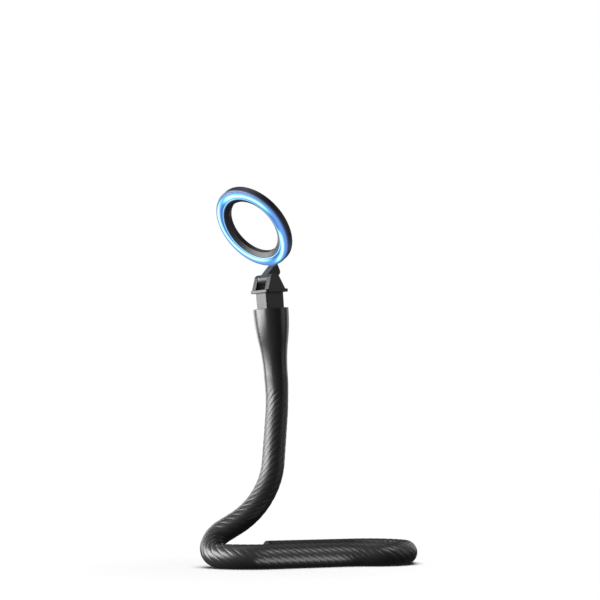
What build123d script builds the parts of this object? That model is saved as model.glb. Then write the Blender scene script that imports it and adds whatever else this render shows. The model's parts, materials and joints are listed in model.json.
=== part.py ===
"""Magnetic ring phone stand on a bendable gooseneck, in millimetres with +Z up.

The neck is one long tube that folds into its own foot on the table, rises, and carries a clevis with a
tilting magnetic ring. The tube is cut into spans where the neck is meant to be bent, so that each span is a
node of its own.
"""

import os
from math import cos, hypot, radians, sin, tan

from build123d import *

# ---- neck tube ----
tube_diameter = 15.5
sleeve_wall = 1.5
core_diameter = 6.0
layer_clearance = 0.05  # radial gap between sleeve, foam and core
span_gap = 0.1  # left between the end faces of neighbouring spans

# ---- route of the neck's centreline ----
# The first points lie on the table and take their height from the tube. The rest rise to the cap's rim.
foot_points = [(-30.5, 7), (68, 55.5), (63.5, -11.5), (28.5, -10.5), (-43.5, -43), (-83, -17)]
raised_points = [(-38.5, -14.8, 35), (-26.3, -10, 57.5), (-22.9, 2.5, 112), (-27.8, -5.5, 173.8)]
bend_radii = [24, 22, 40, 31, 12.5, 50, 52, 70]  # one for each point between the first and the last
flex_margin = 2.0  # straight length that a flexing span takes on each side of its bend

# ---- end plug at the free end of the foot ----
plug_face = 1.6
plug_spigot = 6.0
plug_chamfer = 0.5

# ---- neck cap, measured down from its rim ----
cap_rim_wall = 2.3  # at the pocket's corners
cap_rim_round = 0.4
cap_foot_wall = 0.45
cap_length = 46.0
socket_depth = 10.0
ferrule_top = 12.0
ferrule_length = 12.0
ferrule_inset = 0.8  # from the sleeve's bore to the ferrule's side
core_grip = 10.0
fit_clearance = 0.05  # radial, for pieces fixed in a bore

# ---- clevis adapter ----
block_width = 10.6
block_depth = 16.6
block_taper = 0.8  # degrees
block_exposed = 10.9
block_round = 0.6
socket_clearance = 0.1
flange_overhang = 2.1  # past the block, across the hinge
flange_thickness = 2.2
flange_round = 2.0
flange_edge_round = 0.35
slot_width = 9.6
cheek_thickness = 3.9
cheek_ledge = 0.2  # from the cheek's outer side to the flange's end
cheek_front_inset = 1.8  # from the flange's edge to the cheek's foot
cheek_rear_inset = 3.0
cheek_top_radius = 3.4
cheek_shoulder_reach = 3.8  # rounded rear shoulder of the cheek, from the hinge axis
cheek_shoulder_rise = 1.2
cheek_shoulder_radius = 1.0
cheek_edge_round = 0.4
hinge_height = 7.2  # above the flange
hinge_offset = 2.2  # from the neck's axis towards the ring's visible side

# ---- hinge ----
hinge_turn = -46.6  # plan angle of the hinge axis, degrees
screw_diameter = 3.0
screw_head_diameter = 5.4
screw_head_length = 1.8
screw_head_recess = 0.3
screw_socket_diameter = 2.5
screw_socket_depth = 1.0
screw_clearance = 0.15  # radial, in the adapter and the washers
running_clearance = 0.05  # radial, bush on screw
insert_diameter = 4.6
insert_depth = 2.9
washer_diameter = 6.4
washer_thickness = 0.4
face_clearance = 0.05  # knuckle to washer
bush_diameter = 5.0
tab_step = 0.8  # from the knuckle's end to the tab's side
tab_heel_rise = 9.35  # rounded heel of the tab, from the hinge axis along the ring's normal
tab_heel_radius = 3.0
tab_brow_reach = 0.15  # bead at the tab's root on the visible side, outwards from the ring's edge
tab_brow_rise = 1.6  # and from the ring's visible face
tab_brow_radius = 0.6
tab_root_height = 2.45  # where the tab meets the ring, from the visible face
tab_edge_round = 0.4

# ---- magnetic ring ----
ring_diameter = 61.5
hole_diameter = 41.2
ring_thickness = 5.6
ring_tilt = 56.9  # between the neck's axis and the ring's axis, degrees
hinge_reach = 4.09  # ring edge to hinge axis, across the ring
hinge_set_back = 13.45  # ring mid-plane to hinge axis
edge_round = 1.3
outer_wall = 1.4
inner_wall = 2.0
floor_thickness = 1.4
cone_width = 2.7  # sloped lead into the hole on the band's side
cone_depth = 2.0
band_inset = 0.6  # cone edge to band
band_margin = 0.25  # band to the rounded edge
band_depth = 0.7
cover_thickness = 1.2
cover_round = 0.7
cover_lip = 0.6
cover_lip_height = 0.8
pad_thickness = 0.8
pad_proud = 0.2
pad_margin = 1.7
yoke_thickness = 0.6
magnet_thickness = 2.0
magnet_margin = 0.88  # cavity wall to magnet
magnet_count = 18
magnet_gap = 0.9
stack_clearance = 0.05

# ---- sizes and places that follow ----
tube_radius = tube_diameter / 2
bore_radius = tube_radius - sleeve_wall
core_radius = core_diameter / 2
foam_radius = bore_radius - layer_clearance
foam_bore_radius = core_radius + layer_clearance

route = [Vector(x, y, tube_radius) for x, y in foot_points] + [Vector(*point) for point in raised_points]
rim = route[-1]
neck_axis = (route[-1] - route[-2]).normalized()

turned = Vector(cos(radians(hinge_turn)), sin(radians(hinge_turn)), 0)
hinge_axis = (turned - neck_axis * turned.dot(neck_axis)).normalized()
rim_plane = Plane(origin=rim, x_dir=hinge_axis, z_dir=neck_axis)  # X along the hinge, Z up the neck
cap_section = Plane(origin=rim, x_dir=hinge_axis, z_dir=hinge_axis.cross(neck_axis))  # X radius, Y up
pocket_width = block_width + 2 * socket_clearance
pocket_depth = block_depth + 2 * socket_clearance
rim_radius = hypot(pocket_width, pocket_depth) / 2 + cap_rim_wall
flange_depth = block_depth + 2 * flange_overhang
flange_width = slot_width + 2 * (cheek_thickness + cheek_ledge)
flange_top = block_exposed + flange_thickness
cheek_foot = flange_depth - cheek_front_inset - cheek_rear_inset
cheek_foot_shift = hinge_offset + (cheek_front_inset - cheek_rear_inset) / 2
hinge_centre = rim + neck_axis * (flange_top + hinge_height) - rim_plane.y_dir * hinge_offset
clevis_side = Plane(origin=hinge_centre, x_dir=rim_plane.y_dir, z_dir=hinge_axis)  # Y up the neck

ring_radius = ring_diameter / 2
hinge_drop = ring_radius + hinge_reach
ring_normal = neck_axis * cos(radians(ring_tilt)) + rim_plane.y_dir * sin(radians(ring_tilt))
ring_down = ring_normal.cross(hinge_axis)  # across the ring towards the hinge
ring_centre = hinge_centre - ring_down * hinge_drop + ring_normal * hinge_set_back
ring_plane = Plane(origin=ring_centre, x_dir=hinge_axis, z_dir=ring_normal)
ring_section = Plane(origin=ring_centre, x_dir=ring_down, z_dir=hinge_axis)  # X radius, Y along the normal
ring_axis = Axis(ring_centre, ring_normal)

hole_radius = hole_diameter / 2
back = -ring_thickness / 2
front = ring_thickness / 2
seam = front - cover_thickness
cavity_floor = back + floor_thickness
cavity_inner = hole_radius + inner_wall
cavity_outer = ring_radius - outer_wall
magnet_inner = cavity_inner + magnet_margin
magnet_outer = cavity_outer - magnet_margin
band_inner = hole_radius + cone_width + band_inset
band_outer = ring_radius - edge_round - band_margin
knuckle_length = slot_width - 2 * (washer_thickness + face_clearance)
knuckle_radius = cheek_top_radius
tab_width = knuckle_length - 2 * tab_step
ferrule_foot = ferrule_top + ferrule_length
ferrule_radius = bore_radius - ferrule_inset

os.makedirs("parts", exist_ok=True)


def save(builder, name):
    """Label a finished sub-part and write its STEP file."""
    builder.part.label = name
    export_step(builder.part, f"parts/{name}.step")


# ================= neck =================


def setback(index):
    """Distance from a route point to the start of its bend."""
    arriving = route[index] - route[index - 1]
    leaving = route[index + 1] - route[index]
    return bend_radii[index - 1] * tan(radians(arriving.get_angle(leaving)) / 2)


def on_leg(index, distance):
    """Point on the leg that leaves a route point, at a distance from that point."""
    return route[index] + (route[index + 1] - route[index]).normalized() * distance


def before_bend(index):
    """Where a flexing span starts, ahead of its bend."""
    leg = (route[index] - route[index - 1]).length
    return on_leg(index - 1, leg - setback(index) - flex_margin)


def after_bend(index):
    """Where a flexing span ends, past its bend."""
    return on_leg(index, setback(index) + flex_margin)


def between_bends(index):
    """Middle of the short straight between a bend and the next one."""
    leg = (route[index + 1] - route[index]).length
    return on_leg(index, (leg + setback(index) - setback(index + 1)) / 2)


def neck_tube(name, points, radii, outer_radius, inner_radius):
    """One layer of one span, swept along its stretch of the route: a tube, or a rod without inner radius."""
    with BuildPart() as tube:
        with BuildLine() as path:
            if radii:
                FilletPolyline(*points, radius=radii)
            else:
                Line(*points)
        with BuildSketch(Plane(origin=path.line @ 0, z_dir=path.line % 0)):
            Circle(outer_radius)
            if inner_radius:
                Circle(inner_radius, mode=Mode.SUBTRACT)
        sweep(path=path.line)
    save(tube, name)


def span(name, start, bends, end, foam_start=None, core_start=None, core_end=None):
    """The sleeve, foam and core of one span. The inner layers may start or end elsewhere on its straight."""
    middle = [route[bend] for bend in bends]
    radii = [bend_radii[bend - 1] for bend in bends]
    sleeve_points = [start, *middle, end]
    foam_points = [foam_start or start, *middle, end]
    core_points = [core_start or start, *middle, core_end or end]
    neck_tube(f"sleeve_{name}", sleeve_points, radii, tube_radius, bore_radius)
    neck_tube(f"foam_{name}", foam_points, radii, foam_radius, foam_bore_radius)
    neck_tube(f"core_{name}", core_points, radii, core_radius, 0)


def neck_spans():
    """Every span from the free end of the foot to the inside of the cap, with a small gap where two meet."""
    cuts = [
        before_bend(1),
        after_bend(1),
        between_bends(4),
        after_bend(5),
        between_bends(6),
        after_bend(7),
        before_bend(8),
        after_bend(8),
    ]
    legs = [0, 1, 4, 5, 6, 7, 7, 8]  # the leg of the route that each cut lies on
    ends = []
    starts = []
    for cut, leg in zip(cuts, legs):
        half_gap = (route[leg + 1] - route[leg]).normalized() * (span_gap / 2)
        ends.append(cut - half_gap)
        starts.append(cut + half_gap)
    sleeve_top = rim - neck_axis * (ferrule_foot + fit_clearance)
    core_top = rim - neck_axis * (ferrule_foot - core_grip)

    span(
        "rear",
        on_leg(0, plug_face + span_gap),
        [],
        ends[0],
        foam_start=on_leg(0, plug_face + plug_spigot + span_gap),
        core_start=on_leg(0, plug_face + span_gap),
    )
    span("loop", starts[0], [1], ends[1])
    span("front", starts[1], [2, 3, 4], ends[2])
    span("corner", starts[2], [5], ends[3])
    span("riser", starts[3], [6], ends[4])
    span("knee", starts[4], [7], ends[5])
    span("post", starts[5], [], ends[6])
    span("top", starts[6], [8], ends[7])
    span("crown", starts[7], [], sleeve_top, core_end=core_top)


def end_plug():
    """Flat plug that closes the free end of the sleeve, with a spigot that holds the core's end."""
    face_plane = Plane(origin=route[0], z_dir=route[1] - route[0])
    with BuildPart() as plug:
        with BuildSketch(face_plane):
            Circle(tube_radius)
        extrude(amount=plug_face)
        outlines = plug.edges().filter_by(GeomType.CIRCLE).group_by(Axis(route[0], face_plane.z_dir))
        chamfer(outlines[0], plug_chamfer)
        with BuildSketch(face_plane.offset(plug_face)):
            Circle(bore_radius - fit_clearance)
        extrude(amount=plug_spigot)
        with BuildSketch(face_plane.offset(plug_face)):
            Circle(core_radius + fit_clearance)
        extrude(amount=plug_spigot, mode=Mode.SUBTRACT)
    save(plug, "end_plug")


# ================= neck cap =================


def neck_cap():
    """Flared cap over the top of the sleeve, with a pocket for the adapter and a bore for the ferrule."""
    foot_radius = tube_radius + fit_clearance + cap_foot_wall
    waist = ((rim_radius + foot_radius) / 2, -cap_length / 2)
    with BuildPart() as cap:
        with BuildSketch(cap_section):
            with BuildLine():
                Line((0, 0), (rim_radius, 0))
                flare = TangentArc((rim_radius, 0), waist, tangent=(0, -1))
                TangentArc(waist, (foot_radius, -cap_length), tangent=flare % 1)
                Polyline((foot_radius, -cap_length), (0, -cap_length), (0, 0))
            make_face()
        revolve(axis=Axis(rim, neck_axis))
        fillet(cap.edges().filter_by(GeomType.CIRCLE).group_by(Axis(rim, neck_axis))[-1], cap_rim_round)
        with BuildSketch(rim_plane):
            Rectangle(pocket_width, pocket_depth)
        extrude(amount=-socket_depth, mode=Mode.SUBTRACT)
        with BuildSketch(rim_plane.offset(-socket_depth)):
            Circle(ferrule_radius + fit_clearance)
        extrude(amount=socket_depth - ferrule_foot, mode=Mode.SUBTRACT)
        with BuildSketch(rim_plane.offset(-ferrule_foot)):
            Circle(tube_radius + fit_clearance)
        extrude(amount=ferrule_foot - cap_length, mode=Mode.SUBTRACT)
    save(cap, "neck_cap")


def core_ferrule():
    """Metal sleeve pressed into the cap, blind at the top, that grips the end of the core."""
    with BuildPart() as ferrule:
        with BuildSketch(rim_plane.offset(-ferrule_foot)):
            Circle(ferrule_radius)
        extrude(amount=ferrule_length)
        with BuildSketch(rim_plane.offset(-ferrule_foot)):
            Circle(core_radius + fit_clearance)
        extrude(amount=core_grip, mode=Mode.SUBTRACT)
    save(ferrule, "core_ferrule")


# ================= clevis and hinge =================


def clevis_cheek(side):
    """One upright of the clevis, on the left or right of the slot, with its outer edges rounded."""
    with BuildPart() as cheek:
        with BuildSketch(clevis_side.offset(side * slot_width / 2)):
            Circle(cheek_top_radius)
            with Locations((cheek_shoulder_reach, cheek_shoulder_rise)):
                Circle(cheek_shoulder_radius)
            with Locations((cheek_foot_shift, -hinge_height - flange_thickness / 2)):
                Rectangle(cheek_foot, flange_thickness / 2, align=(Align.CENTER, Align.MIN))
            make_hull()
        extrude(amount=side * cheek_thickness)
        outer_side = cheek.faces().sort_by(Axis(hinge_centre, hinge_axis * side))[-1]
        fillet(outer_side.edges(), cheek_edge_round)
    return cheek.part


def clevis_adapter():
    """Rectangular block, thin flange and two rounded cheeks, in one moulding."""
    block_length = block_exposed + socket_depth - fit_clearance
    outer_side = slot_width / 2 + cheek_thickness
    cheeks = [clevis_cheek(-1), clevis_cheek(1)]
    with BuildPart() as adapter:
        with BuildSketch(rim_plane.offset(block_exposed)):
            RectangleRounded(flange_width, flange_depth, flange_round)
        extrude(amount=flange_thickness)
        outlines = adapter.edges().group_by(Axis(rim, neck_axis))
        fillet(outlines[0] + outlines[-1], flange_edge_round)
        with BuildSketch(rim_plane.offset(block_exposed)):
            RectangleRounded(block_width, block_depth, block_round)
        extrude(amount=-block_length, taper=block_taper)
        add(cheeks)
        with BuildSketch(clevis_side.offset(-outer_side)):
            Circle(screw_diameter / 2 + screw_clearance)
        extrude(amount=cheek_thickness, mode=Mode.SUBTRACT)
        with BuildSketch(clevis_side.offset(-outer_side)):
            Circle(screw_head_diameter / 2 + screw_clearance)
        extrude(amount=screw_head_length + screw_head_recess, mode=Mode.SUBTRACT)
        with BuildSketch(clevis_side.offset(slot_width / 2)):
            Circle(insert_diameter / 2 + fit_clearance)
        extrude(amount=insert_depth, mode=Mode.SUBTRACT)
    save(adapter, "clevis_adapter")


def hinge_screw():
    """Cap screw through the left cheek and the bush into the insert."""
    head_back = -(slot_width / 2 + cheek_thickness) + screw_head_recess
    shank_start = head_back + screw_head_length
    shank_end = slot_width / 2 + insert_depth - 2 * fit_clearance
    with BuildPart() as screw:
        with BuildSketch(clevis_side.offset(head_back)):
            Circle(screw_head_diameter / 2)
        extrude(amount=screw_head_length)
        with BuildSketch(clevis_side.offset(shank_start)):
            Circle(screw_diameter / 2)
        extrude(amount=shank_end - shank_start)
        with BuildSketch(clevis_side.offset(head_back)):
            RegularPolygon(screw_socket_diameter / 2, 6)
        extrude(amount=screw_socket_depth, mode=Mode.SUBTRACT)
    save(screw, "hinge_screw")


def threaded_insert():
    """Brass insert, blind in the right cheek, that takes the screw's end."""
    with BuildPart() as insert:
        with BuildSketch(clevis_side.offset(slot_width / 2 + fit_clearance)):
            Circle(insert_diameter / 2)
            Circle(screw_diameter / 2 + fit_clearance, mode=Mode.SUBTRACT)
        extrude(amount=insert_depth - 2 * fit_clearance)
    save(insert, "threaded_insert")


def friction_washers():
    """Two washers, one on each cheek, that the knuckle turns against."""
    with BuildPart() as washers:
        for side in (-1, 1):
            with BuildSketch(clevis_side.offset(side * slot_width / 2)):
                Circle(washer_diameter / 2)
                Circle(screw_diameter / 2 + screw_clearance, mode=Mode.SUBTRACT)
            extrude(amount=-side * washer_thickness)
    save(washers, "friction_washers")


# ================= magnetic ring =================


def ring_tab():
    """Tab that runs from the ring's edge to the knuckle, with its side edges rounded."""
    tab_root = ring_radius - outer_wall / 2
    with BuildPart() as tab:
        with BuildSketch(ring_section):
            with Locations((hinge_drop, -hinge_set_back)):
                Circle(knuckle_radius)
            with Locations((hinge_drop, tab_heel_rise - hinge_set_back)):
                Circle(tab_heel_radius)
            with Locations((ring_radius + tab_brow_reach, back - tab_brow_rise)):
                Circle(tab_brow_radius)
            with Locations((tab_root, back)):
                Rectangle(outer_wall / 2, tab_root_height, align=(Align.MIN, Align.MIN))
            make_hull()
        extrude(amount=tab_width / 2, both=True)
        sides = tab.faces().sort_by(Axis(hinge_centre, hinge_axis))
        fillet(sides[0].edges() + sides[-1].edges(), tab_edge_round)
    return tab.part


def ring_housing():
    """Channel-shaped ring, open to the phone's side, with a tab and a bored knuckle below it."""
    tab = ring_tab()
    with BuildPart() as housing:
        with BuildSketch(ring_section) as section:
            with BuildLine():
                Polyline(
                    (hole_radius, back + cone_depth),
                    (hole_radius + cone_width, back),
                    (ring_radius, back),
                    (ring_radius, seam),
                    (hole_radius, seam),
                    close=True,
                )
            make_face()
            fillet(section.vertices().group_by(Axis.X)[-1].sort_by(Axis.Y)[0], edge_round)
        revolve(axis=ring_axis)
        add(tab)
        with BuildSketch(ring_section):
            with Locations((hinge_drop, -hinge_set_back)):
                Circle(knuckle_radius)
        extrude(amount=knuckle_length / 2, both=True)
        with BuildSketch(ring_section):
            with Locations((hinge_drop, -hinge_set_back)):
                Circle(bush_diameter / 2 + fit_clearance)
        extrude(amount=knuckle_length, both=True, mode=Mode.SUBTRACT)
        with BuildSketch(ring_plane.offset(cavity_floor)):
            Circle(cavity_outer)
            Circle(cavity_inner, mode=Mode.SUBTRACT)
        extrude(amount=seam - cavity_floor, mode=Mode.SUBTRACT)
        with BuildSketch(ring_plane.offset(back)):
            Circle(band_outer)
            Circle(band_inner, mode=Mode.SUBTRACT)
        extrude(amount=band_depth, mode=Mode.SUBTRACT)
    save(housing, "ring_housing")


def glow_band():
    """Luminous band set flush into the housing's visible face."""
    with BuildPart() as band:
        with BuildSketch(ring_plane.offset(back)):
            Circle(band_outer - fit_clearance)
            Circle(band_inner + fit_clearance, mode=Mode.SUBTRACT)
        extrude(amount=band_depth - stack_clearance)
    save(band, "glow_band")


def yoke_ring():
    """Thin steel ring on the cavity's floor that closes the magnetic circuit."""
    with BuildPart() as yoke:
        with BuildSketch(ring_plane.offset(cavity_floor + stack_clearance)):
            Circle(magnet_outer)
            Circle(magnet_inner, mode=Mode.SUBTRACT)
        extrude(amount=yoke_thickness)
    save(yoke, "yoke_ring")


def magnet_segments():
    """Arc magnets in a ring on the yoke, as a group of separate solids."""
    middle = (magnet_inner + magnet_outer) / 2
    with BuildPart() as magnets:
        with BuildSketch(ring_plane.offset(cavity_floor + yoke_thickness + 2 * stack_clearance)):
            Circle(magnet_outer)
            Circle(magnet_inner, mode=Mode.SUBTRACT)
            with PolarLocations(middle, magnet_count):
                Rectangle(ring_radius - hole_radius, magnet_gap, mode=Mode.SUBTRACT)
        extrude(amount=magnet_thickness)
    save(magnets, "magnet_segments")


def front_cover():
    """Flat cover on the phone's side, with a recess for the grip pad and a locating lip."""
    with BuildPart() as cover:
        with BuildSketch(ring_section) as section:
            with Locations((hole_radius, seam)):
                Rectangle(ring_radius - hole_radius, cover_thickness, align=(Align.MIN, Align.MIN))
            fillet(section.vertices().group_by(Axis.Y)[-1], cover_round)
            with Locations((hole_radius + pad_margin, front)):
                Rectangle(
                    ring_radius - hole_radius - 2 * pad_margin,
                    pad_thickness - pad_proud,
                    align=(Align.MIN, Align.MAX),
                    mode=Mode.SUBTRACT,
                )
            with Locations((cavity_outer - fit_clearance, seam)):
                Rectangle(cover_lip, cover_lip_height, align=(Align.MAX, Align.MAX))
        revolve(axis=ring_axis)
    save(cover, "front_cover")


def grip_pad():
    """Soft ring bonded into the cover, standing slightly proud for the phone to rest on."""
    with BuildPart() as pad:
        with BuildSketch(ring_plane.offset(front + pad_proud)):
            Circle(ring_radius - pad_margin - fit_clearance)
            Circle(hole_radius + pad_margin + fit_clearance, mode=Mode.SUBTRACT)
        extrude(amount=-pad_thickness)
    save(pad, "grip_pad")


def knuckle_bush():
    """Plain bush fixed in the knuckle, running on the screw."""
    with BuildPart() as bush:
        with BuildSketch(clevis_side):
            Circle(bush_diameter / 2)
            Circle(screw_diameter / 2 + running_clearance, mode=Mode.SUBTRACT)
        extrude(amount=knuckle_length / 2, both=True)
    save(bush, "knuckle_bush")


neck_spans()
end_plug()
neck_cap()
core_ferrule()
clevis_adapter()
hinge_screw()
threaded_insert()
friction_washers()
ring_housing()
glow_band()
yoke_ring()
magnet_segments()
front_cover()
grip_pad()
knuckle_bush()
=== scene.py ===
import json
import math

import bpy
import numpy as np
from mathutils import Matrix, Vector

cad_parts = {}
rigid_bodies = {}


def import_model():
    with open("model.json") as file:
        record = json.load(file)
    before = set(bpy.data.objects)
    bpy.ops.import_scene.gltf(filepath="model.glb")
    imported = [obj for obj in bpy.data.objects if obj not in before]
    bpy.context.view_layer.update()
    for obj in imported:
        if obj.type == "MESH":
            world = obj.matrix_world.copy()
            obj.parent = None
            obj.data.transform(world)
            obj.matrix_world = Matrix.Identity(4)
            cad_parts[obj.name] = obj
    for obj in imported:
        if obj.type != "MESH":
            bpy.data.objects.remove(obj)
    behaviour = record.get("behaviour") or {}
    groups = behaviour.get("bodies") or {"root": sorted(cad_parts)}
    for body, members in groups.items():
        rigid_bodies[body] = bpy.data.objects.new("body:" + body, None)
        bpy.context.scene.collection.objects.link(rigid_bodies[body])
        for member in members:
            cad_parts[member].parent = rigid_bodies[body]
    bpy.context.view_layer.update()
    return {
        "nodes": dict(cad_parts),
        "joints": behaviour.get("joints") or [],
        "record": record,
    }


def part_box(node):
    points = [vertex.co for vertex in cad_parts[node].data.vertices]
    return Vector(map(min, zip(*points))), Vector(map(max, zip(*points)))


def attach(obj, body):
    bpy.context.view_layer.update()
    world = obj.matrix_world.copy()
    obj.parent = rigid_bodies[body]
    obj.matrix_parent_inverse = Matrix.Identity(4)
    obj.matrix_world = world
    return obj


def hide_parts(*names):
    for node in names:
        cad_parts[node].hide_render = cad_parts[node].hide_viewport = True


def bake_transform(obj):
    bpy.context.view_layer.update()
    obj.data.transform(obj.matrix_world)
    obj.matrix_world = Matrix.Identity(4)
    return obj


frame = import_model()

bl_info = {
    "name": "Magnetic Ring Stand",
    "version": (1, 0, 0),
    "blender": (4, 5, 0),
    "location": "3D View > Sidebar > Ring Stand",
    "description": "Builds the looks of a bendable phone stand with a magnetic ring",
    "category": "Object",
}

MM = 0.001


# --------------------------------------------------------------------------------------------------
# Measures read from the frame
# --------------------------------------------------------------------------------------------------


def joint(name):
    """The record of one joint."""
    return next(j for j in frame["joints"] if j["name"] == name)


def middle(node):
    """Middle of a CAD node's box."""
    low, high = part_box(node)
    return (low + high) / 2


def tube_radius():
    low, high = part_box("sleeve_front")
    return (high.z - low.z) / 2


RING_AXIS = Vector(frame["record"]["mounts"][0]["axis"]).normalized()
HINGE_AXIS = Vector(joint("head_tilt")["axis"]).normalized()
RING_DOWN = RING_AXIS.cross(HINGE_AXIS).normalized()
RING_CENTRE = middle("magnet_segments")
RING_FRAME = Matrix((HINGE_AXIS, RING_DOWN, RING_AXIS)).transposed()

# The neck's centreline in metres: points on the table, then rising points, and the radius of the bend at each
# point between the first and the last.
FOOT_POINTS = [
    (-0.0305, 0.007),
    (0.068, 0.0555),
    (0.0635, -0.0115),
    (0.0285, -0.0105),
    (-0.0435, -0.043),
    (-0.083, -0.017),
]
RAISED_POINTS = [
    (-0.0385, -0.0148, 0.035),
    (-0.0263, -0.010, 0.0575),
    (-0.0229, 0.0025, 0.112),
    (-0.0278, -0.0055, 0.1738),
]
BEND_RADII = [0.024, 0.022, 0.040, 0.031, 0.0125, 0.050, 0.052, 0.070]
ROUTE = [Vector((x, y, tube_radius())) for x, y in FOOT_POINTS] + [Vector(p) for p in RAISED_POINTS]

# How far a cut stands clear of the bend beside it.
FLEX_MARGIN = 2 * MM

# The neck's layers, as radii. The core is solid: its bore is a hair that its ends close round.
SLEEVE_BORE = 6.25 * MM
FOAM_RADIUS = 6.2 * MM
FOAM_BORE = 3.05 * MM
CORE_RADIUS = 3.0 * MM
CORE_BORE = 0.2 * MM

# Where the layers start, from the neck's free end, and where they all stop, from the cap's rim.
SLEEVE_START = 1.7 * MM
INSIDE_START = 7.7 * MM
LAYERS_END = 24.05 * MM

# Rings of vertices outside a layer for each ring in its bore.
BORE_STRIDE = 6


# --------------------------------------------------------------------------------------------------
# Settings
# --------------------------------------------------------------------------------------------------


def length(name, description, default):
    """A length setting in metres."""
    return bpy.props.FloatProperty(
        name=name, description=description, default=default, min=0.0, unit="LENGTH", precision=5
    )


def number(name, description, default):
    """A plain setting of 0 or more."""
    return bpy.props.FloatProperty(name=name, description=description, default=default, min=0.0)


def colour(name, description, default):
    """A linear colour setting."""
    return bpy.props.FloatVectorProperty(
        name=name, description=description, default=default, size=3, min=0.0, max=1.0, subtype="COLOR"
    )


class NeckSizes(bpy.types.PropertyGroup):
    """Sizes of the gooseneck's sleeve and of what is inside it."""

    rib_pitch: length("Rib pitch", "Distance between neighbouring ribs, along the neck", 5.05 * MM)
    rib_depth: length("Rib depth", "How deep the grooves between the ribs are", 0.30 * MM)
    rib_starts: bpy.props.IntProperty(
        name="Rib starts", description="How many ribs run side by side round the neck", default=10, min=1
    )
    smooth_length: length("Smooth length", "Plain length of sleeve below the cap", 7.0 * MM)
    fade_length: length("Fade length", "Length over which the ribs rise to full depth", 10.0 * MM)
    cap_step: length("Cap step", "How far the sleeve swells to lie flush with the cap's foot", 0.48 * MM)
    cap_overlap: length("Cap overlap", "How far the swelling goes on inside the cap", 1.5 * MM)
    step_along: length("Step along", "Spacing of the sleeve's rings of vertices", 0.45 * MM)
    steps_around: bpy.props.IntProperty(
        name="Steps around", description="Vertices in each ring of the sleeve", default=120, min=12
    )


class BandSizes(bpy.types.PropertyGroup):
    """Sizes of the band with painted glow that CAD leaves flat."""

    crown: length("Crown", "How far the middle of the band's face stands out", 0.12 * MM)
    depth: length("Depth", "How far the band reaches into its groove", 0.6 * MM)
    steps_across: bpy.props.IntProperty(
        name="Steps across", description="Faces across the band's crowned face", default=14, min=4
    )
    steps_around: bpy.props.IntProperty(
        name="Steps around", description="Faces round the band", default=256, min=32
    )


class Finishes(bpy.types.PropertyGroup):
    """Base colours of the stand's finishes."""

    sleeve: colour("Sleeve", "Ribbed elastomer sleeve", (0.010, 0.010, 0.011))
    foam: colour("Foam", "Foam tube round the core", (0.05, 0.05, 0.052))
    core: colour("Core", "Soft metal core and its ferrule", (0.78, 0.79, 0.80))
    moulding: colour("Moulding", "Neck cap", (0.010, 0.010, 0.011))
    plug: colour("Plug", "End plug", (0.004, 0.004, 0.004))
    clevis: colour("Clevis", "Clevis adapter", (0.007, 0.007, 0.008))
    screw: colour("Screw", "Blackened steel of the hinge screw", (0.10, 0.10, 0.105))
    brass: colour("Brass", "Threaded insert", (0.78, 0.56, 0.26))
    washers: colour("Washers", "Nylon of the friction washers", (0.62, 0.62, 0.58))
    bush: colour("Bush", "Acetal of the knuckle bush", (0.72, 0.72, 0.70))
    ring: colour("Ring", "Ring housing and cover", (0.012, 0.012, 0.014))
    pad: colour("Pad", "Silicone of the grip pad", (0.020, 0.020, 0.021))
    yoke: colour("Yoke", "Plated steel of the yoke ring", (0.60, 0.61, 0.63))
    magnets: colour("Magnets", "Nickel plate of the magnets", (0.70, 0.69, 0.66))
    # The four glow colours are painted glow: on the band, and glow_blue also on the housing beside it.
    glow_deep: colour("Deep glow", "Darkest blue of the band", (0.035, 0.120, 0.480))
    glow_blue: colour("Blue glow", "Main blue of the band", (0.130, 0.290, 0.750))
    glow_cyan: colour("Cyan glow", "Bright streaks of the band", (0.190, 0.850, 1.000))
    glow_hot: colour("Hot glow", "Brightest middle of the streaks", (0.800, 1.000, 1.000))


class StageSettings(bpy.types.PropertyGroup):
    """Camera, floor and light."""

    camera_side: length("Camera side", "How far left of the frame's origin the camera stands", 7.5 * MM)
    camera_distance: length("Camera distance", "From the frame's origin to the camera", 783.5 * MM)
    camera_height: length("Camera height", "Height of the camera over the table", 56 * MM)
    camera_pitch: bpy.props.FloatProperty(
        name="Camera pitch",
        description="Upward tilt of the camera",
        default=math.radians(9.04),
        subtype="ANGLE",
    )
    lens: number("Lens", "Focal length in millimetres", 68.09)
    ambient: number("Ambient", "Share of the backdrop's brightness that lights the stand", 0.07)
    key_power: number("Key power", "Watts of the left softbox", 30.0)
    floor_light: number("Floor light", "Strength of the light that whitens the floor", 2.97)
    backdrop: colour("Backdrop", "Floor and background", (1.0, 1.0, 1.0))


# --------------------------------------------------------------------------------------------------
# Node trees written as expressions
# --------------------------------------------------------------------------------------------------


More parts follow.
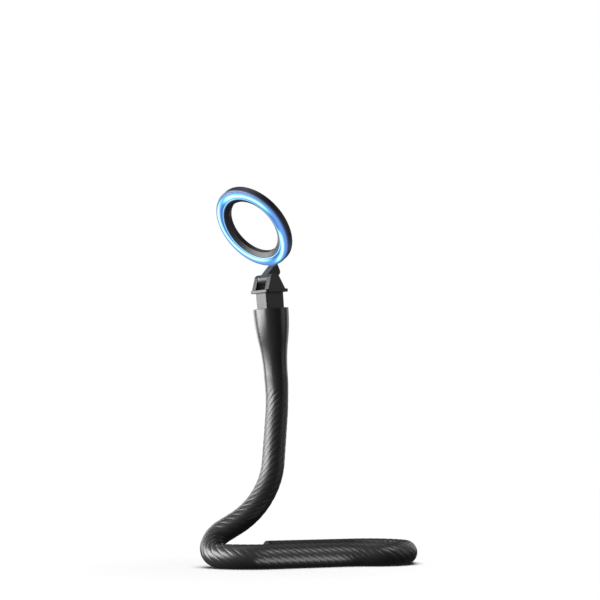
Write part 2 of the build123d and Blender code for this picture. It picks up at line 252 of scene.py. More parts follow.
class Socket:
    """An output socket that takes part in arithmetic: each operation adds its own Math node."""

    def __init__(self, graph, socket):
        self.graph = graph
        self.socket = socket

    def maths(self, operation, *values):
        return self.graph.out("ShaderNodeMath", {"operation": operation}, dict(enumerate(values)))

    def __add__(self, other):
        return self.maths("ADD", self, other)

    def __radd__(self, other):
        return self.maths("ADD", other, self)

    def __sub__(self, other):
        return self.maths("SUBTRACT", self, other)

    def __rsub__(self, other):
        return self.maths("SUBTRACT", other, self)

    def __mul__(self, other):
        return self.maths("MULTIPLY", self, other)

    def __rmul__(self, other):
        return self.maths("MULTIPLY", other, self)

    def __truediv__(self, other):
        return self.maths("DIVIDE", self, other)

    def __pow__(self, other):
        return self.maths("POWER", self, other)

    def __lt__(self, other):
        return self.maths("LESS_THAN", self, other)

    def __abs__(self):
        return self.maths("ABSOLUTE", self)

    def fraction(self):
        return self.maths("FRACT", self)

    def sine(self):
        return self.maths("SINE", self)

    def clamped(self):
        return self.graph.out("ShaderNodeClamp", {}, {"Value": self, "Min": 0.0, "Max": 1.0})

    def step(self, low, high):
        """0 below low, 1 above high and smooth between them."""
        return self.graph.out(
            "ShaderNodeMapRange",
            {"interpolation_type": "SMOOTHSTEP"},
            {"Value": self, "From Min": low, "From Max": high, "To Min": 0.0, "To Max": 1.0},
        )

    def bell(self, centre, width):
        """1 at the centre, falling to 0 as a bell curve of that width."""
        ratio = (self - centre) / width
        return self.maths("EXPONENT", 0.0 - ratio * ratio)


class Graph:
    """A node tree that is built from calls."""

    def __init__(self, tree):
        self.tree = tree
        tree.nodes.clear()

    def node(self, kind, settings, inputs):
        """Add a node: its settings come first, then the values or links of its inputs."""
        made = self.tree.nodes.new(kind)
        for name, value in settings.items():
            setattr(made, name, value)
        for key, value in inputs.items():
            if isinstance(value, Socket):
                self.tree.links.new(value.socket, made.inputs[key])
            else:
                made.inputs[key].default_value = value
        return made

    def out(self, kind, settings, inputs, output=0):
        """Add a node and give one of its outputs."""
        return Socket(self, self.node(kind, settings, inputs).outputs[output])

    def mix(self, amount, first, second):
        """Mix two colours. The node's colours are its sockets 6 and 7, and its colour output is 2."""
        return self.out("ShaderNodeMix", {"data_type": "RGBA"}, {0: amount, 6: first, 7: second}, 2)


def opaque(rgb):
    """A colour with full alpha."""
    return (rgb[0], rgb[1], rgb[2], 1.0)


def lighter(rgb, amount):
    return tuple(min(1.0, c + amount) for c in rgb)


def darker(rgb, share):
    return tuple(c * share for c in rgb)


class Finish(Graph):
    """A material with one Principled shader."""

    def __init__(self, name, **constants):
        self.material = bpy.data.materials.new(name)
        self.material.use_nodes = True
        super().__init__(self.material.node_tree)
        self.shader = self.node("ShaderNodeBsdfPrincipled", {}, {})
        for key, value in constants.items():
            self.shader.inputs[key.replace("_", " ")].default_value = value
        surface = Socket(self, self.shader.outputs[0])
        self.node("ShaderNodeOutputMaterial", {}, {"Surface": surface})

    def set(self, name, value):
        """Feed one of the shader's inputs that varies over the surface."""
        self.tree.links.new(value.socket, self.shader.inputs[name])

    def split(self, vector):
        """The three numbers of a vector."""
        parts = self.node("ShaderNodeSeparateXYZ", {}, {"Vector": vector})
        return [Socket(self, output) for output in parts.outputs]

    def chart(self, name):
        """The two numbers of a UV map."""
        return self.split(self.out("ShaderNodeUVMap", {"uv_map": name}, {}))[:2]

    def place(self):
        """Object coordinates."""
        return self.out("ShaderNodeTexCoord", {}, {}, "Object")

    def noise(self, scale, detail):
        """Noise of a given number of cells per metre."""
        return self.out("ShaderNodeTexNoise", {}, {"Vector": self.place(), "Scale": scale, "Detail": detail})

    def bump(self, height, distance, below=None):
        """A bump from a height between 0 and 1, over another bump where one is given."""
        inputs = {"Height": height, "Distance": distance, "Strength": 1.0}
        if below:
            inputs["Normal"] = below
        return self.out("ShaderNodeBump", {}, inputs)


def paint(node, finish):
    """Give a CAD node's object a finish."""
    mesh = frame["nodes"][node].data
    mesh.materials.clear()
    mesh.materials.append(finish.material)


def mapped_object(name, verts, faces, chart, spots, material):
    """A smooth object from vertices and faces, with a UV map of one spot for each face corner."""
    mesh = bpy.data.meshes.new(name)
    mesh.from_pydata(verts.tolist(), [], faces)
    mesh.materials.append(material)
    layer = mesh.uv_layers.new(name=chart)
    layer.data.foreach_set("uv", np.array(spots, np.float32).ravel())
    mesh.shade_smooth()
    obj = bpy.data.objects.new(name, mesh)
    bpy.context.scene.collection.objects.link(obj)
    return obj


# --------------------------------------------------------------------------------------------------
# Finishes
# --------------------------------------------------------------------------------------------------


def moulded_plastic(name, rgb, roughness, grain, specular=0.45):
    """Moulded plastic: fine spark-eroded grain, faint mottling and slightly uneven gloss."""
    finish = Finish(name, Specular_IOR_Level=specular)
    mottle = finish.noise(90.0, 4.0)
    finish.set("Base Color", finish.mix(mottle, opaque(rgb), opaque(lighter(rgb, 0.006))))
    wear = finish.noise(420.0, 3.0)
    finish.set("Roughness", wear * 0.10 + (roughness - 0.05))
    spark = finish.noise(5200.0, 3.0)
    finish.set("Normal", finish.bump(spark, grain))
    return finish


def sleeve_elastomer(rgb, neck):
    """Twill-pattern elastomer: each rib carries fine floats that lean the other way."""
    finish = Finish("sleeve_elastomer", Specular_IOR_Level=0.42)
    around, along = finish.chart("neck")
    turn = around * (1.0 / (math.tau * tube_radius()))
    rib = (along * (1.0 / neck.rib_pitch) - turn * neck.rib_starts).fraction()
    ribs_end = cap_foot_place() - neck.smooth_length
    plain = ((along - ribs_end) * (1.0 / neck.fade_length)).step(-1.0, 0.0)
    crown = 1.0 - abs(rib * 2.0 - 1.0) ** 2.0 * (1.0 - plain)
    floats = (along * (3.0 / neck.rib_pitch) + turn * (3.0 * neck.rib_starts)).fraction()
    float_crown = (1.0 - abs(floats * 2.0 - 1.0) ** 3.0) * (1.0 - plain)
    weave = finish.bump(float_crown * crown, 0.008 * MM)
    skin = finish.noise(4200.0, 3.0)
    finish.set("Normal", finish.bump(skin, 0.002 * MM, below=weave))
    dust = finish.noise(70.0, 4.0)
    # Base colour: random dusty tone, and a little lighter on the rib crowns than in the grooves, which is
    # painted shade in the grooves.
    tone = finish.mix(crown * 0.7 + dust * 0.3, opaque(rgb), opaque(lighter(rgb, 0.004)))
    finish.set("Base Color", tone)
    finish.set("Roughness", 0.39 - crown * 0.06 + dust * 0.06)
    return finish


def bare_metal(name, rgb, roughness, grain):
    """Turned or plated metal with fine scratches."""
    finish = Finish(name, Metallic=1.0)
    mottle = finish.noise(260.0, 4.0)
    finish.set("Base Color", finish.mix(mottle, opaque(rgb), opaque(darker(rgb, 0.8))))
    scratches = finish.noise(2600.0, 6.0)
    finish.set("Roughness", scratches * 0.2 + roughness)
    finish.set("Normal", finish.bump(scratches, grain))
    return finish


def soft_foam(name, rgb):
    """Closed-cell foam."""
    finish = Finish(name)
    where = finish.place()
    cells = finish.out("ShaderNodeTexVoronoi", {}, {"Vector": where, "Scale": 1800.0}, "Distance")
    finish.set("Base Color", finish.mix(cells, opaque(rgb), opaque(lighter(rgb, 0.05))))
    finish.set("Roughness", 0.95 - cells * 0.2)
    finish.set("Normal", finish.bump(cells, 0.08 * MM))
    return finish


def ring_place(finish):
    """Polar place on the ring: radius, and height along the ring's axis from the magnets' middle."""
    centre = RING_FRAME.transposed() @ RING_CENTRE
    turned = RING_FRAME.transposed().to_euler()
    local = finish.out(
        "ShaderNodeMapping",
        {"vector_type": "POINT"},
        {"Vector": finish.place(), "Rotation": turned, "Location": -centre},
    )
    x, y, height = finish.split(local)
    return (x * x + y * y) ** 0.5, height


def ring_plastic(rgb, glow):
    """Satin plastic of the ring, with painted glow along the edges beside the band."""
    finish = moulded_plastic("ring_plastic", rgb, roughness=0.44, grain=0.001 * MM, specular=0.25)
    radius, height = ring_place(finish)
    low, high, face = band_place()
    # Painted glow: emission on the housing near the band's inner and outer edges and beside its face, in
    # noisy patches, as glow spilled from the band.
    near = radius.bell(high, 1.3 * MM) + radius.bell(low, 0.5 * MM)
    side = height.bell(face, 1.1 * MM)
    patches = finish.noise(45.0, 2.0) * 0.5 + 0.65
    spill = (near * side * patches).clamped()
    finish.set("Emission Color", finish.mix(spill, opaque((0.0, 0.0, 0.0)), opaque(glow)))
    finish.shader.inputs["Emission Strength"].default_value = 0.9
    return finish


def painted_glow_finish(colours):
    """Band with painted glow, as the band is no lamp: blue, crossed by bright cyan arms that drift outwards
    round the ring.
    """
    finish = Finish("painted_glow_band", Roughness=0.25, Specular_IOR_Level=0.25)
    turn, across = finish.chart("band")
    # Each arm: its start and end in turns round the band, its place across the band at both, and its width
    arms = [(0.03, 0.22, 0.18, 0.85, 0.26), (0.23, 0.67, 0.26, 0.94, 0.26), (0.68, 0.94, 0.46, 0.54, 0.28)]
    bright = None
    for start, end, first, last, width in arms:
        share = (turn - start) * (1.0 / (end - start))
        ends = share.step(-0.12, 0.18) * (1.0 - share.step(0.80, 1.12))
        arm = across.bell(share * (last - first) + first, width) * ends
        bright = arm if bright is None else bright + arm
    ripple = (turn * (3 * math.tau) + across * 2.3).sine() * 0.07
    rim_line = across.bell(0.05, 0.045) * 0.75
    # A thin dimmer line in the painted glow, beside its bright rim line; the band's face has no crease there.
    glow_gap = 1.0 - across.bell(0.15, 0.04) * 0.55
    glow = (bright * glow_gap + rim_line + ripple).clamped()
    # Painted glow: the blue ground, cyan arms and hot middles are emission, and the base colour turns paler
    # where the glow is bright.
    ground = finish.mix(across.step(0.15, 0.75), opaque(colours.glow_deep), opaque(colours.glow_blue))
    lit = finish.mix(glow.step(0.0, 0.55), ground, opaque(colours.glow_cyan))
    hot = finish.mix(glow.step(0.42, 0.95), lit, opaque(colours.glow_hot))
    dark = opaque(darker(colours.glow_blue, 0.10))
    pale = opaque((0.05, 0.09, 0.10))
    finish.set("Base Color", finish.mix(glow, dark, pale))
    finish.set("Emission Color", hot)
    finish.shader.inputs["Emission Strength"].default_value = 0.95
    return finish


def band_place():
    """Inner and outer radius of the CAD band, and the height of its visible face from the magnets' middle."""
    axis = np.array(RING_AXIS)
    spots = np.array([v.co for v in frame["nodes"]["glow_band"].data.vertices]) - np.array(RING_CENTRE)
    heights = spots @ axis
    radii = np.linalg.norm(spots - np.outer(heights, axis), axis=1)
    return float(radii.min()), float(radii.max()), float(heights.min())


# --------------------------------------------------------------------------------------------------
# The neck
# --------------------------------------------------------------------------------------------------


def leg(index):
    """Unit direction and length of the straight from one route point to the next."""
    run = ROUTE[index + 1] - ROUTE[index]
    return run.normalized(), run.length


def bend_angle(index):
    """How far the route turns at a point between its first and last."""
    return leg(index - 1)[0].angle(leg(index)[0])


def setback(index):
    """Distance from a route point to the start of its bend."""
    if index in (0, len(ROUTE) - 1):
        return 0.0
    return BEND_RADII[index - 1] * math.tan(bend_angle(index) / 2)


def on_leg(index, distance):
    """Point at a distance from a leg's start."""
    return ROUTE[index] + leg(index)[0] * distance


def before_bend(index):
    """Cut on the leg that leads to a bend, just clear of it."""
    return on_leg(index - 1, leg(index - 1)[1] - setback(index) - FLEX_MARGIN)


def after_bend(index):
    """Cut on the leg that follows a bend, just clear of it."""
    return on_leg(index, setback(index) + FLEX_MARGIN)


def between_bends(index):
    """Cut halfway along the straight part of a leg."""
    return on_leg(index, (leg(index)[1] + setback(index) - setback(index + 1)) / 2)


def below_rim(distance):
    """Point at a distance from the cap's rim, down the last leg."""
    return ROUTE[-1] - leg(len(ROUTE) - 2)[0] * distance


def route_length():
    """Length of the route with its corners rounded."""
    straights = sum(leg(i)[1] for i in range(len(ROUTE) - 1))
    bends = range(1, len(ROUTE) - 1)
    return straights + sum(BEND_RADII[i - 1] * bend_angle(i) - 2 * setback(i) for i in bends)


def cap_foot_place():
    """Length of route from its free end to the cap's lower edge."""
    cap = [v.co for v in frame["nodes"]["neck_cap"].data.vertices]
    down = -leg(len(ROUTE) - 2)[0]
    return route_length() - max((spot - ROUTE[-1]).dot(down) for spot in cap)


CUTS = [
    before_bend(1),
    after_bend(1),
    between_bends(4),
    after_bend(5),
    between_bends(6),
    after_bend(7),
    before_bend(8),
    after_bend(8),
]
CUT_LEGS = [0, 1, 4, 5, 6, 7, 7, 8]
SPANS = ["rear", "loop", "front", "corner", "riser", "knee", "post", "top", "crown"]
RIDES = {"rear": "free_leg", "front": "foot", "riser": "riser", "post": "post", "crown": "crown"}
FLEXES = {
    "loop": ("free_leg", "foot"),
    "corner": ("foot", "riser"),
    "knee": ("riser", "post"),
    "top": ("post", "crown"),
}

# Inputs of the tube's node tree.
TUBE_LENGTHS = [
    "Radius",
    "Rib Depth",
    "Rib Pitch",
    "Step Along",
    "Ribs End",
    "Fade Length",
    "Swell",
    "Swell End",
    "Swell Overlap",
]
TUBE_COUNTS = ["Rib Starts", "Steps Around"]
BEND_STEPS = 64


def tube_tree():
    """Geometry nodes that run a ribbed tube along a route with rounded corners."""
    tree = bpy.data.node_groups.new("ribbed_tube", "GeometryNodeTree")
    tree.interface.new_socket("Route", in_out="INPUT", socket_type="NodeSocketGeometry")
    for name in TUBE_LENGTHS:
        tree.interface.new_socket(name, in_out="INPUT", socket_type="NodeSocketFloat")
    for name in TUBE_COUNTS:
        tree.interface.new_socket(name, in_out="INPUT", socket_type="NodeSocketInt")
    tree.interface.new_socket("Material", in_out="INPUT", socket_type="NodeSocketMaterial")
    tree.interface.new_socket("Tube", in_out="OUTPUT", socket_type="NodeSocketGeometry")
    graph = Graph(tree)
    given = graph.node("NodeGroupInput", {}, {})

    def value(name):
        return Socket(graph, given.outputs[name])

    def store(geometry, name, amount):
        return graph.out(
            "GeometryNodeStoreNamedAttribute",
            {"data_type": "FLOAT", "domain": "POINT"},
            {"Geometry": geometry, "Name": name, "Value": amount},
        )

    def read(name):
        return graph.out("GeometryNodeInputNamedAttribute", {"data_type": "FLOAT"}, {"Name": name})

    line = graph.out("GeometryNodeMeshToCurve", {}, {"Mesh": value("Route")})
    rounded = graph.out(
        "GeometryNodeFilletCurve",
        {"mode": "POLY"},
        {"Curve": line, "Count": BEND_STEPS, "Radius": read("bend")},
    )
    even = graph.out(
        "GeometryNodeResampleCurve", {"mode": "LENGTH"}, {"Curve": rounded, "Length": value("Step Along")}
    )
    route = store(even, "along", graph.out("GeometryNodeSplineParameter", {}, {}, "Length"))
    circle = graph.out(
        "GeometryNodeCurvePrimitiveCircle",
        {"mode": "RADIUS"},
        {"Resolution": value("Steps Around"), "Radius": value("Radius")},
    )
    profile = store(circle, "around", graph.out("GeometryNodeSplineParameter", {}, {}, "Factor"))
    tube = graph.out("GeometryNodeCurveToMesh", {}, {"Curve": route, "Profile Curve": profile})
    phase = (read("along") / value("Rib Pitch") - read("around") * value("Rib Starts")).fraction()
    groove = abs(phase * 2.0 - 1.0) ** 4.0
    fade = ((value("Ribs End") - read("along")) / value("Fade Length")).step(0.0, 1.0)
    past = read("along") - value("Swell End")
    ramp = (past / value("Fade Length")).step(-2.0, 0.0) * (past < value("Swell Overlap"))
    rise = ramp * value("Swell") - groove * fade * value("Rib Depth")
    normal = graph.out("GeometryNodeInputNormal", {}, {})
    offset = graph.out("ShaderNodeVectorMath", {"operation": "SCALE"}, {"Vector": normal, "Scale": rise})
    ribbed = graph.out("GeometryNodeSetPosition", {}, {"Geometry": tube, "Offset": offset})
    solid = graph.out("GeometryNodeRealizeInstances", {}, {"Geometry": ribbed})
    done = graph.out("GeometryNodeSetMaterial", {}, {"Geometry": solid, "Material": value("Material")})
    graph.node("NodeGroupOutput", {}, {"Tube": done})
    return tree


def route_object():
    """The route as a mesh of points and edges, each point with its bend's radius."""
    mesh = bpy.data.meshes.new("neck_route")
    edges = [(i, i + 1) for i in range(len(ROUTE) - 1)]
    mesh.from_pydata([tuple(p) for p in ROUTE], edges, [])
    bend = mesh.attributes.new("bend", "FLOAT", "POINT")
    bend.data.foreach_set("value", [0.0, *BEND_RADII, 0.0])
    obj = bpy.data.objects.new("neck_route", mesh)
    bpy.context.scene.collection.objects.link(obj)
    return obj


def run_tube(tree, sizes, material):
    """Rings of vertices of a tube along the whole route, from its free end, and their places along it."""
    obj = route_object()
    modifier = obj.modifiers.new("tube", "NODES")
    modifier.node_group = tree
    inputs = {**sizes, "Material": material}
    for item in tree.interface.items_tree:
        if item.in_out == "INPUT" and item.name in inputs:
            modifier[item.identifier] = inputs[item.name]
    obj.data.update()
    bpy.context.view_layer.update()
    depsgraph = bpy.context.evaluated_depsgraph_get()
    mesh = bpy.data.meshes.new_from_object(obj.evaluated_get(depsgraph))
    obj.modifiers.remove(modifier)
    count = len(mesh.vertices)
    spots = np.zeros(count * 3)
    mesh.vertices.foreach_get("co", spots)
    along = np.zeros(count)
    mesh.attributes["along"].data.foreach_get("value", along)
    around = sizes["Steps Around"]
    rings = spots.reshape(-1, around, 3)
    places = along.reshape(-1, around)[:, 0]
    first, last = (np.linalg.norm(rings[i].mean(axis=0) - np.array(ROUTE[0])) for i in (0, -1))
    if first > last:
        rings = rings[::-1]
        places = places[::-1]
    bpy.data.objects.remove(obj)
    bpy.data.meshes.remove(mesh)
    return rings, places


def ring_normals(rings):
    """Outward normals of every vertex of a tube, from its neighbours along and around it."""
    forward = np.gradient(rings, axis=0)
    sideways = np.roll(rings, -1, axis=1) - np.roll(rings, 1, axis=1)
    normals = np.cross(sideways, forward)
    outward = rings - rings.mean(axis=1, keepdims=True)
    if (normals * outward).sum() < 0:
        normals = -normals
    return normals / np.linalg.norm(normals, axis=2, keepdims=True)


def tube_piece(name, rings, normals, places, bore, material):
    """A closed length of tube, with the whole tube's own normals so that its cuts don't show."""
    count, around = rings.shape[:2]
    outer = rings.reshape(-1, 3)
    outer_normals = normals.reshape(-1, 3)
    centres = rings.mean(axis=1, keepdims=True)
    spokes = rings - centres
    spokes /= np.linalg.norm(spokes, axis=2, keepdims=True)
    rows = [*range(0, count - 1, BORE_STRIDE), count - 1]
    inner = (centres + spokes * bore)[rows].reshape(-1, 3)
    base = count * around
    faces = []
    spots = []
    girth = math.tau * tube_radius()
    flip = np.dot(np.cross(outer[1] - outer[0], outer[around] - outer[0]), outer_normals[0]) < 0

    def strip(low, high, low_place, high_place, reverse):
        """Faces between two rings, which start at vertices low and high."""
        for j in range(around):
            k = (j + 1) % around
            left, right = j / around * girth, (j + 1) / around * girth
            corners = [low + j, low + k, high + k, high + j]
            chart = [(left, low_place), (right, low_place), (right, high_place), (left, high_place)]
            if reverse:
                corners.reverse()
                chart.reverse()
            faces.append(corners)
            spots.extend(chart)

    for i in range(count - 1):
        strip(i * around, (i + 1) * around, places[i], places[i + 1], flip)
    skin = len(faces)
    for n in range(len(rows) - 1):
        strip(base + n * around, base + (n + 1) * around, places[rows[n]], places[rows[n + 1]], not flip)
    ends = len(faces)
    strip(0, base, places[0], places[0], not flip)
    strip((count - 1) * around, base + (len(rows) - 1) * around, places[-1], places[-1], flip)
    # A normal for each face corner: the whole tube's on the outside, square to each end, and 0 in the bore,
    # which leaves it to Blender.
    corner_normals = np.zeros((len(faces), 4, 3))
    corner_normals[:skin] = outer_normals[np.array(faces[:skin])]
    start_normal = centres[0, 0] - centres[1, 0]
    end_normal = centres[-1, 0] - centres[-2, 0]
    corner_normals[ends : ends + around] = start_normal / np.linalg.norm(start_normal)
    corner_normals[ends + around :] = end_normal / np.linalg.norm(end_normal)
    piece = mapped_object(name, np.vstack([outer, inner]), faces, "neck", spots, material)
    piece.data.normals_split_custom_set(corner_normals.reshape(-1, 3).tolist())
    return piece


def nearest_ring(rings, point):
    centres = rings.mean(axis=1)
    return int(np.argmin(np.linalg.norm(centres - np.array(point), axis=1)))


def chord_inside(name, radius):
    """Start and end of a span's bend, moved in so that its end rings stay wholly with their own bodies."""
    index = SPANS.index(name)
    start, end = CUTS[index - 1], CUTS[index]
    chord = (end - start).normalized()
    legs = CUT_LEGS[index - 1], CUT_LEGS[index]
    offsets = [radius * math.sqrt(max(0.0, 1 - chord.dot(leg(i)[0]) ** 2)) for i in legs]
    return start + chord * offsets[0], end - chord * offsets[1]


def neck_layer(label, piece_name, sizes, bore, start, spans, finish):
    """Make one layer of the neck and cut it into spans; each rides on its body, or stays where it lies at a
    bend between two.
    """
    rings, places = run_tube(tube_tree(), sizes, finish.material)
    normals = ring_normals(rings)
    ends = [nearest_ring(rings, point) for point in (start, *CUTS, below_rim(LAYERS_END))]
    for index, name in enumerate(SPANS):
        if name not in spans:
            continue
        rows = slice(ends[index], ends[index + 1] + 1)
        piece = tube_piece(
            f"{piece_name}_{name}", rings[rows], normals[rows], places[rows], bore, finish.material
        )
        if name in FLEXES:
            low, high = chord_inside(name, sizes["Radius"])
            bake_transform(piece)
        else:
            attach(piece, RIDES[name])
        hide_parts(f"{label}_{name}")


class RINGSTAND_OT_sleeve(bpy.types.Operator):
    """Ribbed sleeve of the gooseneck, in spans cut where the neck bends"""

    bl_idname = "ring_stand.sleeve"
    bl_label = "Sleeve"

    def execute(self, context):
        neck = context.scene.ring_stand_neck
        finish = sleeve_elastomer(context.scene.ring_stand_finishes.sleeve, neck)
        sizes = {
            "Radius": tube_radius(),
            "Rib Depth": neck.rib_depth,
            "Rib Pitch": neck.rib_pitch,
            "Rib Starts": neck.rib_starts,
            "Step Along": neck.step_along,
            "Steps Around": neck.steps_around,
            "Ribs End": cap_foot_place() - neck.smooth_length,
            "Fade Length": neck.fade_length,
            "Swell": neck.cap_step,
            "Swell End": cap_foot_place(),
            "Swell Overlap": neck.cap_overlap,
        }
        start = on_leg(0, SLEEVE_START)
        neck_layer("sleeve", "sleeve_skin", sizes, SLEEVE_BORE, start, SPANS, finish)
        return {"FINISHED"}


# Inputs of a tube without ribs or swelling. The places that it has no use for lie past its end.
PAST_END = 1.0
PLAIN_TUBE = {
    "Rib Depth": 0.0,
    "Rib Pitch": 5 * MM,
    "Rib Starts": 1,
    "Step Along": 0.9 * MM,
    "Steps Around": 40,
    "Ribs End": PAST_END,
    "Fade Length": PAST_END,
    "Swell": 0.0,
    "Swell End": PAST_END,
    "Swell Overlap": 0.0,
}


class RINGSTAND_OT_neck_inside(bpy.types.Operator):
    """Foam tube and soft metal core, where the neck bends"""

    bl_idname = "ring_stand.neck_inside"
    bl_label = "Foam and core"

    def execute(self, context):
        finishes = context.scene.ring_stand_finishes
        foam = soft_foam("neck_foam", finishes.foam)
        core = bare_metal("core_wire", finishes.core, roughness=0.28, grain=0.006 * MM)
        start = on_leg(0, INSIDE_START)
        foam_sizes = {**PLAIN_TUBE, "Radius": FOAM_RADIUS}
        core_sizes = {**PLAIN_TUBE, "Radius": CORE_RADIUS}
        neck_layer("foam", "foam_run", foam_sizes, FOAM_BORE, start, FLEXES, foam)
        neck_layer("core", "core_run", core_sizes, CORE_BORE, start, FLEXES, core)
        for name in RIDES:
            paint(f"foam_{name}", foam)
            paint(f"core_{name}", core)
        paint("core_ferrule", core)
        return {"FINISHED"}


class RINGSTAND_OT_mouldings(bpy.types.Operator):
    """Neck cap, end plug and clevis adapter in moulded plastic"""

    bl_idname = "ring_stand.mouldings"
    bl_label = "Mouldings"

    def execute(self, context):
        finishes = context.scene.ring_stand_finishes
        cap = moulded_plastic("cap_moulding", finishes.moulding, roughness=0.30, grain=0.003 * MM)
        plug = moulded_plastic(
            "plug_moulding", finishes.plug, roughness=0.60, grain=0.004 * MM, specular=0.15
        )
        clevis = moulded_plastic(
            "clevis_moulding", finishes.clevis, roughness=0.40, grain=0.004 * MM, specular=0.32
        )
        paint("neck_cap", cap)
        paint("end_plug", plug)
        paint("clevis_adapter", clevis)
        return {"FINISHED"}


class RINGSTAND_OT_hinge(bpy.types.Operator):
    """Screw, insert, washers and bush of the tilting hinge"""

    bl_idname = "ring_stand.hinge"
    bl_label = "Hinge"

    def execute(self, context):
        finishes = context.scene.ring_stand_finishes
        screw = bare_metal("blackened_steel", finishes.screw, roughness=0.32, grain=0.006 * MM)
        insert = bare_metal("brass", finishes.brass, roughness=0.30, grain=0.008 * MM)
        washers = moulded_plastic("washer_nylon", finishes.washers, roughness=0.50, grain=0.008 * MM)
        bush = moulded_plastic("bush_acetal", finishes.bush, roughness=0.42, grain=0.006 * MM)
        paint("hinge_screw", screw)
        paint("threaded_insert", insert)
        paint("friction_washers", washers)
        paint("knuckle_bush", bush)
        return {"FINISHED"}


class RINGSTAND_OT_ring(bpy.types.Operator):
    """Ring housing, cover, pad and what they hold"""

    bl_idname = "ring_stand.ring"
    bl_label = "Ring"

    def execute(self, context):
        finishes = context.scene.ring_stand_finishes
        cover = moulded_plastic("cover_plastic", finishes.ring, roughness=0.36, grain=0.003 * MM)
        pad = moulded_plastic("pad_silicone", finishes.pad, roughness=0.72, grain=0.020 * MM)
        yoke = bare_metal("plated_steel", finishes.yoke, roughness=0.30, grain=0.006 * MM)
        magnets = bare_metal("nickel_plate", finishes.magnets, roughness=0.18, grain=0.004 * MM)
        paint("ring_housing", ring_plastic(finishes.ring, finishes.glow_blue))
        paint("front_cover", cover)
        paint("grip_pad", pad)
        paint("yoke_ring", yoke)
        paint("magnet_segments", magnets)
        return {"FINISHED"}


def band_profile(sizes):
    """Section of the band as (radius, height) points: the crowned face, then two corners in the groove."""
    low, high, face = band_place()
    shares = np.linspace(0.0, 1.0, sizes.steps_across + 1)
    rises = sizes.crown * (1.0 - (2.0 * shares - 1.0) ** 4)
    profile = [(low + (high - low) * share, face - rise) for share, rise in zip(shares, rises)]
    return profile + [(high, face + sizes.depth), (low, face + sizes.depth)]


def turned_strip(name, profile, steps, material):
    """A closed ring turned about the ring's axis from (radius, height) points, mapped round and across."""
    angles = np.linspace(0.0, math.tau, steps, endpoint=False)
    radii, heights = np.array(profile).T
    local = np.stack(
        [np.outer(np.cos(angles), radii), np.outer(np.sin(angles), radii), np.tile(heights, (steps, 1))],
        axis=2,
    )
    verts = local.reshape(-1, 3) @ np.array(RING_FRAME).T + np.array(RING_CENTRE)
    size = len(profile)
    across = (radii - radii.min()) / (radii.max() - radii.min())
    faces = []
    spots = []
    for i in range(steps):
        ahead = (i + 1) % steps
        for j in range(size):
            k = (j + 1) % size
            faces.append([i * size + j, i * size + k, ahead * size + k, ahead * size + j])
            corners = [(i, j), (i, k), (i + 1, k), (i + 1, j)]
            spots.extend((turn / steps, across[point]) for turn, point in corners)
    return mapped_object(name, verts, faces, "band", spots, material)


class RINGSTAND_OT_glow_band(bpy.types.Operator):
    """Band with painted glow in the ring's visible face"""

    bl_idname = "ring_stand.glow_band"
    bl_label = "Glow band"

    def execute(self, context):
        sizes = context.scene.ring_stand_band
        finish = painted_glow_finish(context.scene.ring_stand_finishes)
        band = turned_strip("painted_glow_band", band_profile(sizes), sizes.steps_around, finish.material)
        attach(band, "head")
        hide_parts("glow_band")
        return {"FINISHED"}


# --------------------------------------------------------------------------------------------------
# Stage
# --------------------------------------------------------------------------------------------------


# Soft lights, which face LIGHT_AIM: place, width and height in metres, and share of the left softbox's power.
LIGHT_AIM = (0.0, 0.0, 0.13)
SOFT_LIGHTS = {
    "left_softbox": ((-0.76, -0.23, 0.24), 1.0, 0.55, 1.0),
    "right_strip": ((0.80, -0.06, 0.40), 0.5, 0.9, 0.050),
    "back_card_left": ((-0.50, 0.65, 0.35), 0.5, 0.6, 0.09),
    "back_card_right": ((0.55, 0.68, 0.35), 0.5, 0.6, 0.04),
    "top_strip": ((-0.1, 0.1, 0.9), 0.9, 0.35, 0.05),
}
# One more, which reaches only the spans of sleeve on the table.
FRONT_CARD = ((0.50, -0.42, 0.62), 0.35, 0.22, 0.11)
LOW_SPANS = ["front", "loop"]

# A narrow strip on the floor before the front span, as paper that throws light up: how far it lies from the
# route and over the floor, its size and its share of the power.
SHEEN_OFFSET = 17 * MM
SHEEN_HEIGHT = 1 * MM
SHEEN_SIZE = (68 * MM, 14 * MM)
SHEEN_SHARE = 0.0005

FLOOR_HALF = 12.0
FLOOR_LIGHT_SPREAD = math.radians(60)


def soft_light(name, place, width, height, power):
    """A rectangular soft light that faces the stand."""
    light = bpy.data.lights.new(name, "AREA")
    light.shape = "RECTANGLE"
    light.size = width
    light.size_y = height
    light.energy = power
    obj = bpy.data.objects.new(name, light)
    obj.location = place
    obj.rotation_euler = (Vector(LIGHT_AIM) - Vector(place)).to_track_quat("-Z", "Y").to_euler()
    bpy.context.scene.collection.objects.link(obj)
    return obj


def light_only(light, objects, state):
    """Make a light reach these objects only, or everything but them."""
    reached = bpy.data.collections.new(f"{light.name}_reach")
    for obj in objects:
        reached.objects.link(obj)
    for entry in reached.collection_objects:
        entry.light_linking.link_state = state
    light.light_linking.receiver_collection = reached


def place_camera(scene, stage):
    """The camera, level across and tilted up a little."""
    camera = bpy.data.cameras.new("camera")
    camera.lens = stage.lens
    camera.sensor_width = 36.0
    camera.clip_start = 10 * MM
    eye = bpy.data.objects.new("camera", camera)
    eye.location = (-stage.camera_side, -stage.camera_distance, stage.camera_height)
    eye.rotation_euler = (math.pi / 2 + stage.camera_pitch, 0.0, 0.0)
    scene.collection.objects.link(eye)
    scene.camera = eye


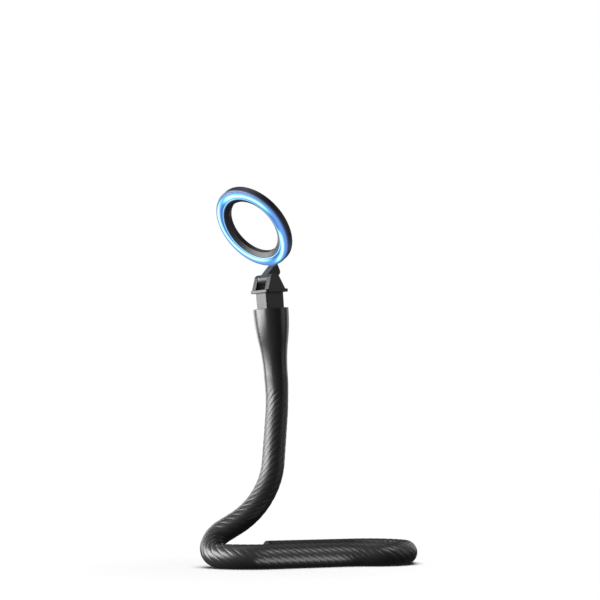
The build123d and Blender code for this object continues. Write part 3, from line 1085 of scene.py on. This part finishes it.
def lay_floor(scene, stage):
    """The white floor, which takes shadows and throws no light back."""
    mesh = bpy.data.meshes.new("floor")
    corners = [(-1, -1), (1, -1), (1, 1), (-1, 1)]
    mesh.from_pydata([(x * FLOOR_HALF, y * FLOOR_HALF, 0) for x, y in corners], [], [(0, 1, 2, 3)])
    floor = bpy.data.objects.new("floor", mesh)
    floor.visible_diffuse = False
    floor.visible_glossy = False
    scene.collection.objects.link(floor)
    paper = Finish("floor_paper", Roughness=0.9, Specular_IOR_Level=0.0)
    fibre = paper.noise(300.0, 3.0)
    pale = opaque(stage.backdrop)
    paper.set("Base Color", paper.mix(fibre, pale, opaque(darker(stage.backdrop, 0.99))))
    mesh.materials.append(paper.material)
    return floor


def fill_air(scene, stage):
    """The backdrop: bright where the camera sees it, dim as light on the stand."""
    world = bpy.data.worlds.new("world")
    world.use_nodes = True
    scene.world = world
    air = Graph(world.node_tree)
    seen = air.out("ShaderNodeLightPath", {}, {}, "Is Camera Ray")
    strength = seen * (1.0 - stage.ambient) + stage.ambient
    glow = air.out("ShaderNodeBackground", {}, {"Color": opaque(stage.backdrop), "Strength": strength})
    air.node("ShaderNodeOutputWorld", {}, {"Surface": glow})


def sheen_strip(power):
    """The strip on the floor beside the front span, facing up and out of the camera's sight."""
    run = leg(3)[0]
    beside = (ROUTE[3] + ROUTE[4]) / 2 + Vector((-run.y, run.x, 0.0)) * SHEEN_OFFSET
    beside.z = SHEEN_HEIGHT
    strip = soft_light("floor_sheen", beside, *SHEEN_SIZE, power * SHEEN_SHARE)
    down = Vector((0, 0, -1))
    strip.rotation_euler = Matrix((run, down.cross(run), down)).transposed().to_euler()
    strip.visible_camera = False
    return strip


class RINGSTAND_OT_stage(bpy.types.Operator):
    """Pale floor, soft lights and the camera"""

    bl_idname = "ring_stand.stage"
    bl_label = "Stage"

    def execute(self, context):
        stage = context.scene.ring_stand_stage
        place_camera(context.scene, stage)
        floor = lay_floor(context.scene, stage)
        fill_air(context.scene, stage)
        lights = [sheen_strip(stage.key_power)]
        for name, (place, width, height, share) in SOFT_LIGHTS.items():
            lights.append(soft_light(name, place, width, height, stage.key_power * share))
        for light in lights:
            light_only(light, [floor], "EXCLUDE")
        place, width, height, share = FRONT_CARD
        front_card = soft_light("front_card", place, width, height, stage.key_power * share)
        low_spans = [bpy.data.objects[f"sleeve_skin_{name}"] for name in LOW_SPANS]
        light_only(front_card, low_spans, "INCLUDE")
        overhead = bpy.data.lights.new("floor_light", "SUN")
        overhead.energy = stage.floor_light
        overhead.angle = FLOOR_LIGHT_SPREAD
        sky = bpy.data.objects.new("floor_light", overhead)
        context.scene.collection.objects.link(sky)
        light_only(sky, [floor], "INCLUDE")
        context.scene.view_settings.view_transform = "Standard"
        return {"FINISHED"}


class RINGSTAND_PT_panel(bpy.types.Panel):
    """Sidebar panel that lists the stand's pieces and sizes"""

    bl_idname = "RINGSTAND_PT_panel"
    bl_label = "Ring Stand"
    bl_space_type = "VIEW_3D"
    bl_region_type = "UI"
    bl_category = "Ring Stand"

    def draw(self, context):
        for attribute in SETTINGS:
            settings = getattr(context.scene, attribute)
            box = self.layout.box()
            for name in settings.__annotations__:
                box.prop(settings, name)
        for operator in OPERATORS:
            self.layout.operator(operator.bl_idname)


OPERATORS = [
    RINGSTAND_OT_sleeve,
    RINGSTAND_OT_neck_inside,
    RINGSTAND_OT_mouldings,
    RINGSTAND_OT_hinge,
    RINGSTAND_OT_ring,
    RINGSTAND_OT_glow_band,
    RINGSTAND_OT_stage,
]
SETTINGS = {
    "ring_stand_neck": NeckSizes,
    "ring_stand_band": BandSizes,
    "ring_stand_finishes": Finishes,
    "ring_stand_stage": StageSettings,
}
CLASSES = [*SETTINGS.values(), *OPERATORS, RINGSTAND_PT_panel]


def register():
    for item in CLASSES:
        bpy.utils.register_class(item)
    for attribute, group in SETTINGS.items():
        setattr(bpy.types.Scene, attribute, bpy.props.PointerProperty(type=group))


def unregister():
    for attribute in SETTINGS:
        delattr(bpy.types.Scene, attribute)
    for item in reversed(CLASSES):
        bpy.utils.unregister_class(item)


def main():
    """Build every piece."""
    register()
    for operator in OPERATORS:
        group, name = operator.bl_idname.split(".")
        getattr(getattr(bpy.ops, group), name)()


if __name__ == "__main__":
    main()
